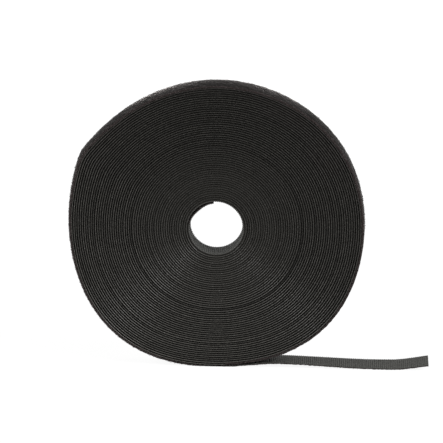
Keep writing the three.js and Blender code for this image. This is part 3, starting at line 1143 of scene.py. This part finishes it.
# %% Stray loops
LOOP_LINE = [(-0.28, -0.15), (-0.3, 0.12), (-0.17, 0.34), (0.05, 0.4), (0.24, 0.26), (0.3, -0.1)]
LOOP_RADIUS = 0.045
LOOP_SIDES = 3
LOOPS_PER_MM = 8.0
EDGE_SHARE = 0.6
RIM_HANG = 1.1
TAIL_HANG = 0.15
LONGEST_LOOP = 2.2
COMBED_LENGTH = 175.0
COMBED_SIZE = 0.35
LOOP_END_MARGIN = 0.4
LOOP_SIDE_MARGIN = 0.5
LOOP_SUNK = 0.05
# Loops that hang less than this far below the pile stand out over its bulge, and others lie closer
BULGE_HEIGHT = 1.2
BULGE_OUT = 0.3
BULGE_IN = -0.05
EDGE_LOOP_RISE = 0.35
LOOP_TILT = 0.25
LOOP_SIZES = (0.7, 1.15)
LONG_LOOPS = 0.4
FLOOR_ROOM = 0.7
LOOP = filament(LOOP_LINE, LOOP_RADIUS, LOOP_SIDES)


def stray_loops(
    name, stations_at, start, stop, per_mm, hang, freedom=TAIL_FREEDOM, shift_at=None, combed=0.0
):
    """Loops scattered over the pile, a share of them at its two edges; they are short where it was combed."""
    count = int((stop - start) * per_mm)
    lengths = rng.uniform(start + LOOP_END_MARGIN, stop - LOOP_END_MARGIN, count)
    side = np.where(rng.random(count) < 0.5, -1.0, 1.0)
    hanging = rng.random(count) < EDGE_SHARE
    below = hang * np.abs(rng.normal(0, 1, count))
    edge = HALF + np.where(below < BULGE_HEIGHT, BULGE_OUT, BULGE_IN) * freedom
    breadths = np.where(hanging, side * edge, rng.uniform(-1, 1, count) * (HALF - LOOP_SIDE_MARGIN))
    face, through = stations_at(lengths)
    ahead = way_ahead(stations_at, lengths)
    on_pile = pile_depth(breadths, freedom) - LOOP_SUNK
    root = face + through * np.where(hanging, PILE_ROOT - below, on_pile)[:, None]
    shifted = breadths + (0 if shift_at is None else shift_at(lengths))
    bases = np.stack([root[:, 0], shifted, root[:, 1]], axis=-1)
    outwards = np.where(hanging, EDGE_LOOP_RISE, 1.0)
    ups = np.stack([through[:, 0] * outwards, side * hanging, through[:, 1] * outwards], axis=-1)
    ups += rng.normal(0, LOOP_TILT, (count, 3))
    ups /= np.linalg.norm(ups, axis=1, keepdims=True)
    spin = rng.uniform(0, FULL_TURN, count)[:, None]
    along = np.stack([ahead[:, 0], np.zeros(count), ahead[:, 1]], axis=-1)
    cross = np.cross(ups, along)
    along = np.cos(spin) * along + np.sin(spin) * cross
    along -= ups * (along * ups).sum(axis=1, keepdims=True)
    along /= np.linalg.norm(along, axis=1, keepdims=True)
    keep = bases[:, 2] > FLOOR_ROOM
    coordinates = np.stack([lengths, breadths], axis=-1)
    sizes = rng.uniform(*LOOP_SIZES, count) * (1 + freedom * rng.exponential(LONG_LOOPS, count))
    sizes = np.minimum(sizes, LONGEST_LOOP) * np.where(lengths < start + combed, COMBED_SIZE, 1.0)
    return plant(name, LOOP, bases[keep], along[keep], ups[keep], sizes[keep], coordinates[keep], LOOP_YARN)


rim_loops = stray_loops(
    "rim_loops", wound_stations, rim_lengths[0], rim_lengths[-1], LOOPS_PER_MM, RIM_HANG,
    freedom=1.0, shift_at=wander, combed=COMBED_LENGTH,
)
replace_on(rim_loops, "roll", "loop_strip")
print("rim loops:", len(rim_loops.data.polygons), "faces")

# %% [markdown]
# ## The free inner end
# The tape starts with a cut end on the bore's wall. Freed from the turn behind it, the end has straightened
# a little, which flattens the bore at its upper left. It can be peeled inwards.

# %% Flap of the inner end
FLAP_STRAIGHTENING = 1.0
FLAP_BLEND = 5
FLAP_NAP_STATIONS = 40


def flap_stations(lengths):
    """The innermost stretch, drawn inwards between its cut end and the seam."""
    face, through = wound_stations(lengths)
    share = np.clip(lengths / wound_length(FLAP_SEAM), 0, 1)
    drawn = FLAP_STRAIGHTENING * np.sin(math.pi * share) ** 2
    return face - through * drawn[:, None], through


def at_length(stations_at, length, depth=TAPE_THICKNESS / 2):
    face, through = stations_at(np.array([length]))
    point = (face + through * depth)[0] * MM
    return (point[0], 0, point[1])


def blend_flap(piece, slot, *nodes):
    hinge = wound_length(FLAP_ROOT)
    at_length(flap_stations, hinge + FLAP_BLEND)
    at_length(flap_stations, hinge - FLAP_BLEND)
    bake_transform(piece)
    stand_for(nodes)


flap_lengths = row_steps(0, wound_length(FLAP_SEAM))
flap_nap_lengths = np.linspace(0, wound_length(FLAP_SEAM), FLAP_NAP_STATIONS)
flap_hook_strip = open_hook_strip(
    "flap_hook_strip", flap_stations(flap_lengths), flap_lengths, wander(flap_lengths)
)
flap_loop_strip = open_loop_strip(
    "flap_loop_strip", flap_stations(flap_nap_lengths), flap_nap_lengths, wander(flap_nap_lengths)
)
flap_hooks = hook_rows("flap_hooks", flap_stations, 0, flap_lengths[-1], wander)
blend_flap(flap_hook_strip, "hook_strip", "start_flap_hook")
blend_flap(flap_loop_strip, "loop_strip", "start_flap_loop")
blend_flap(flap_hooks, "hook_strip")
print("flap:", round(flap_lengths[-1], 1), "mm of tape over its hinge")

# %% [markdown]
# ## The tail
# The solids bend the tail at six hinges. Real tape bends evenly, and each piece here runs from the middle of
# one link to the middle of the next, so neighbouring pieces meet at the middle of a link. Each stretch has the
# same four pieces: the ribbed hook strip, its hooks, the loop strip below and its stray loops.

# %% Tail, link by link
TAIL_LINKS = 6
LINK_LENGTH = TAIL_LENGTH / TAIL_LINKS
BLEND_SHARE = 0.46
BLEND_REACH = BLEND_SHARE * LINK_LENGTH
PEEL_REACH = 3.0
TAIL_LOOPS_PER_MM = 5.0
TWIST_START = 75.0
TWIST_RISE = 1.5


def twist(piece):
    """Raise the far edge little by little: the free end turns slightly about its own length."""
    points = np.empty(3 * len(piece.data.vertices), np.float32)
    piece.data.vertices.foreach_get("co", points)
    x, y = points[0::3] / MM, points[1::3] / MM
    share = np.clip((x - TWIST_START) / (tip[0] - TWIST_START), 0, 1)
    points[2::3] += TWIST_RISE * MM * share * (y / TAPE_WIDTH + 0.5)
    piece.data.vertices.foreach_set("co", points)
    piece.data.update()


def blend_link(piece, link, slot, *nodes):
    hinge = (link - 1) * LINK_LENGTH
    before = PEEL_REACH if link == 1 else BLEND_REACH
    at_length(tail_stations, hinge - before)
    at_length(tail_stations, hinge + BLEND_REACH)
    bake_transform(piece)
    stand_for(nodes)


def tail_stretch(link):
    """Lengths from the peel line between which a link's pieces lie."""
    start = -LEAD_LENGTH if link == 1 else (link - 1.5) * LINK_LENGTH
    stop = TAIL_LENGTH if link == TAIL_LINKS else (link - 0.5) * LINK_LENGTH
    return start, stop


def make_tail_link(link):
    start, stop = tail_stretch(link)
    fine = row_steps(start, stop)
    nap = np.linspace(start, stop, int((stop - start) / NAP_STEP) + 2)
    hook_strip = open_hook_strip(f"tail_{link}_hook_strip", tail_stations(fine), fine)
    loop_strip = open_loop_strip(f"tail_{link}_loop_strip", tail_stations(nap), nap)
    hooks = hook_rows(f"tail_{link}_hooks", tail_stations, start, stop)
    loops = stray_loops(f"tail_{link}_loops", tail_stations, start, stop, TAIL_LOOPS_PER_MM, TAIL_HANG)
    for piece in (hook_strip, loop_strip, hooks, loops):
        twist(piece)
    blend_link(hook_strip, link, "hook_strip", f"tail_{link}_hook")
    blend_link(loop_strip, link, "loop_strip", f"tail_{link}_loop")
    blend_link(hooks, link, "hook_strip")
    blend_link(loops, link, "loop_strip")
    return hook_strip, loop_strip, hooks, loops


tail = [piece for link in range(1, TAIL_LINKS + 1) for piece in make_tail_link(link)]
print("tail:", len(tail), "pieces,", sum(len(piece.data.polygons) for piece in tail), "faces")
